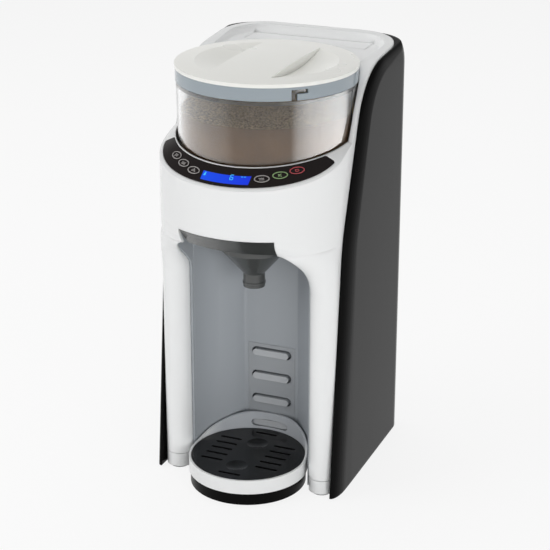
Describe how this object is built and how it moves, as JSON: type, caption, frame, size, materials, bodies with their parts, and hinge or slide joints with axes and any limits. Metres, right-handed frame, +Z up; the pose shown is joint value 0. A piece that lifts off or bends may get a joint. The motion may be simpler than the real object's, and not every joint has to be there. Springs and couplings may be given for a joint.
{
  "type": "baby formula maker",
  "caption": "Counter-top machine that doses milk powder and warm water into a bottle, with a powder container, a water tank, a funnel drawer and a drip tray.",
  "frame": {"origin": "on the floor, under the middle of the machine", "axes": "+Z up, the front with the control panel faces -Y, +X to the viewer's right when looking at the front"},
  "size_m": [0.1916, 0.242, 0.4076],
  "materials": {
    "white_abs": "gloss",
    "black_gloss": "gloss",
    "fascia_black": "gloss",
    "grey_abs": "satin",
    "black_abs": "satin",
    "rubber_black": "matte",
    "lcd_blue": "gloss",
    "clear_tritan": "gloss",
    "blue_tint": "gloss",
    "smoke_clear": "gloss",
    "silver_key": "gloss",
    "green_key": "gloss",
    "red_key": "gloss",
    "powder": "matte",
    "acetal": "satin",
    "steel": "satin",
    "brass": "satin",
    "cast_aluminium": "satin",
    "circuit_board": "satin",
    "silicone": "satin"
  },
  "bodies": {
    "machine": {"front_shell": "white_abs", "left_foot_cap": "white_abs", "right_foot_cap": "white_abs", "bay_liner": "grey_abs", "tray_rail": "grey_abs", "rear_casing": "black_gloss", "chassis": "black_abs", "base_plate": "black_abs", "rubber_feet": "rubber_black", "fascia": "fascia_black", "display_window": "lcd_blue", "display_board": "circuit_board", "keypad_mat": "silicone", "container_seat": "black_abs", "powder_chute": "acetal", "gear_motor": "steel", "motor_bracket": "steel", "drive_bush": "brass", "heater": "cast_aluminium", "thermostat": "black_abs", "pump_housing": "black_abs", "power_board": "circuit_board", "control_board": "circuit_board", "suction_tube": "silicone", "feed_tube": "silicone", "hot_tube": "silicone", "water_nozzle": "acetal", "tank_dock": "black_abs", "dock_seal": "silicone", "mains_inlet": "black_abs", "screws": "steel", "holder_rails": "black_abs", "hinge_pins": "steel"},
    "container": {"powder_container": "clear_tritan", "container_base": "clear_tritan", "formula_powder": "powder"},
    "wheel": {"powder_wheel": "acetal", "stirrer": "acetal"},
    "drive": {"drive_gear": "acetal", "drive_hub": "steel"},
    "pinion": {"motor_pinion": "steel"},
    "gasket": {"lid_gasket": "silicone"},
    "lid": {"lid": "white_abs", "lid_collar": "blue_tint"},
    "drawer": {"funnel_holder": "smoke_clear", "funnel": "smoke_clear"},
    "tray": {"tray_ring": "white_abs", "drip_pan": "black_abs"},
    "grille": {"tray_grille": "black_abs"},
    "tank": {"water_tank": "smoke_clear", "tank_valve": "silicone"},
    "cover": {"tank_cover": "white_abs"},
    "pump_rotor": {"pump_rotor": "acetal"},
    "temperature_button": {"temperature_button": "silver_key"},
    "ounces_button": {"ounces_button": "silver_key"},
    "powder_button": {"powder_button": "silver_key"},
    "wash_button": {"wash_button": "silver_key"},
    "start_button": {"start_button": "green_key"},
    "stop_button": {"stop_button": "red_key"}
  },
  "joints": [
    {"name": "container_lift", "type": "slide", "parent": "machine", "child": "container", "axis": [0, 0, 1], "range_m": [0, 0.12]},
    {"name": "wheel_spin", "type": "hinge", "parent": "container", "child": "wheel", "pos_m": [0, -0.015, 0.2998], "axis": [0, 0, 1], "continuous": true},
    {"name": "drive_spin", "type": "hinge", "parent": "machine", "child": "drive", "pos_m": [0, -0.015, 0.28], "axis": [0, 0, 1], "continuous": true},
    {"name": "pinion_spin", "type": "hinge", "parent": "machine", "child": "pinion", "pos_m": [0, 0.013, 0.28], "axis": [0, 0, 1], "continuous": true},
    {"name": "lid_lift", "type": "slide", "parent": "container", "child": "gasket", "axis": [0, 0, 1], "range_m": [0, 0.06]},
    {"name": "lid_twist", "type": "hinge", "parent": "gasket", "child": "lid", "pos_m": [0, -0.015, 0.4], "axis": [0, 0, -1], "range_deg": [0, 7]},
    {"name": "drawer_slide", "type": "slide", "parent": "machine", "child": "drawer", "axis": [0, -1, 0], "range_m": [0, 0.1]},
    {"name": "tray_pull", "type": "slide", "parent": "machine", "child": "tray", "axis": [0, -1, 0], "range_m": [0, 0.08]},
    {"name": "grille_lift", "type": "slide", "parent": "tray", "child": "grille", "axis": [0, 0, 1], "range_m": [0, 0.04]},
    {"name": "tank_slide", "type": "slide", "parent": "machine", "child": "tank", "axis": [0, 1, 0], "range_m": [0, 0.09]},
    {"name": "cover_hinge", "type": "hinge", "parent": "machine", "child": "cover", "pos_m": [0, 0.1003, 0.3969], "axis": [-1, 0, 0], "range_deg": [0, 85]},
    {"name": "pump_spin", "type": "hinge", "parent": "machine", "child": "pump_rotor", "pos_m": [0.04, 0.04, 0.132], "axis": [0, 1, 0], "continuous": true},
    {"name": "temperature_press", "type": "slide", "parent": "machine", "child": "temperature_button", "axis": [0.2957, 0.4907, -0.8196], "range_m": [0, 0.0008], "stiffness_N_per_m": 600},
    {"name": "ounces_press", "type": "slide", "parent": "machine", "child": "ounces_button", "axis": [0.2304, 0.5348, -0.8129], "range_m": [0, 0.0008], "stiffness_N_per_m": 600},
    {"name": "powder_press", "type": "slide", "parent": "machine", "child": "powder_button", "axis": [0.1585, 0.5675, -0.808], "range_m": [0, 0.0008], "stiffness_N_per_m": 600},
    {"name": "wash_press", "type": "slide", "parent": "machine", "child": "wash_button", "axis": [-0.1585, 0.5675, -0.808], "range_m": [0, 0.0008], "stiffness_N_per_m": 600},
    {"name": "start_press", "type": "slide", "parent": "machine", "child": "start_button", "axis": [-0.2304, 0.5348, -0.8129], "range_m": [0, 0.0008], "stiffness_N_per_m": 600},
    {"name": "stop_press", "type": "slide", "parent": "machine", "child": "stop_button", "axis": [-0.2957, 0.4907, -0.8196], "range_m": [0, 0.0008], "stiffness_N_per_m": 600}
  ],
  "couplings": [
    {"joint": "drive_spin", "follows": "wheel_spin", "ratio": 1},
    {"joint": "pinion_spin", "follows": "wheel_spin", "ratio": -2.5}
  ]
}
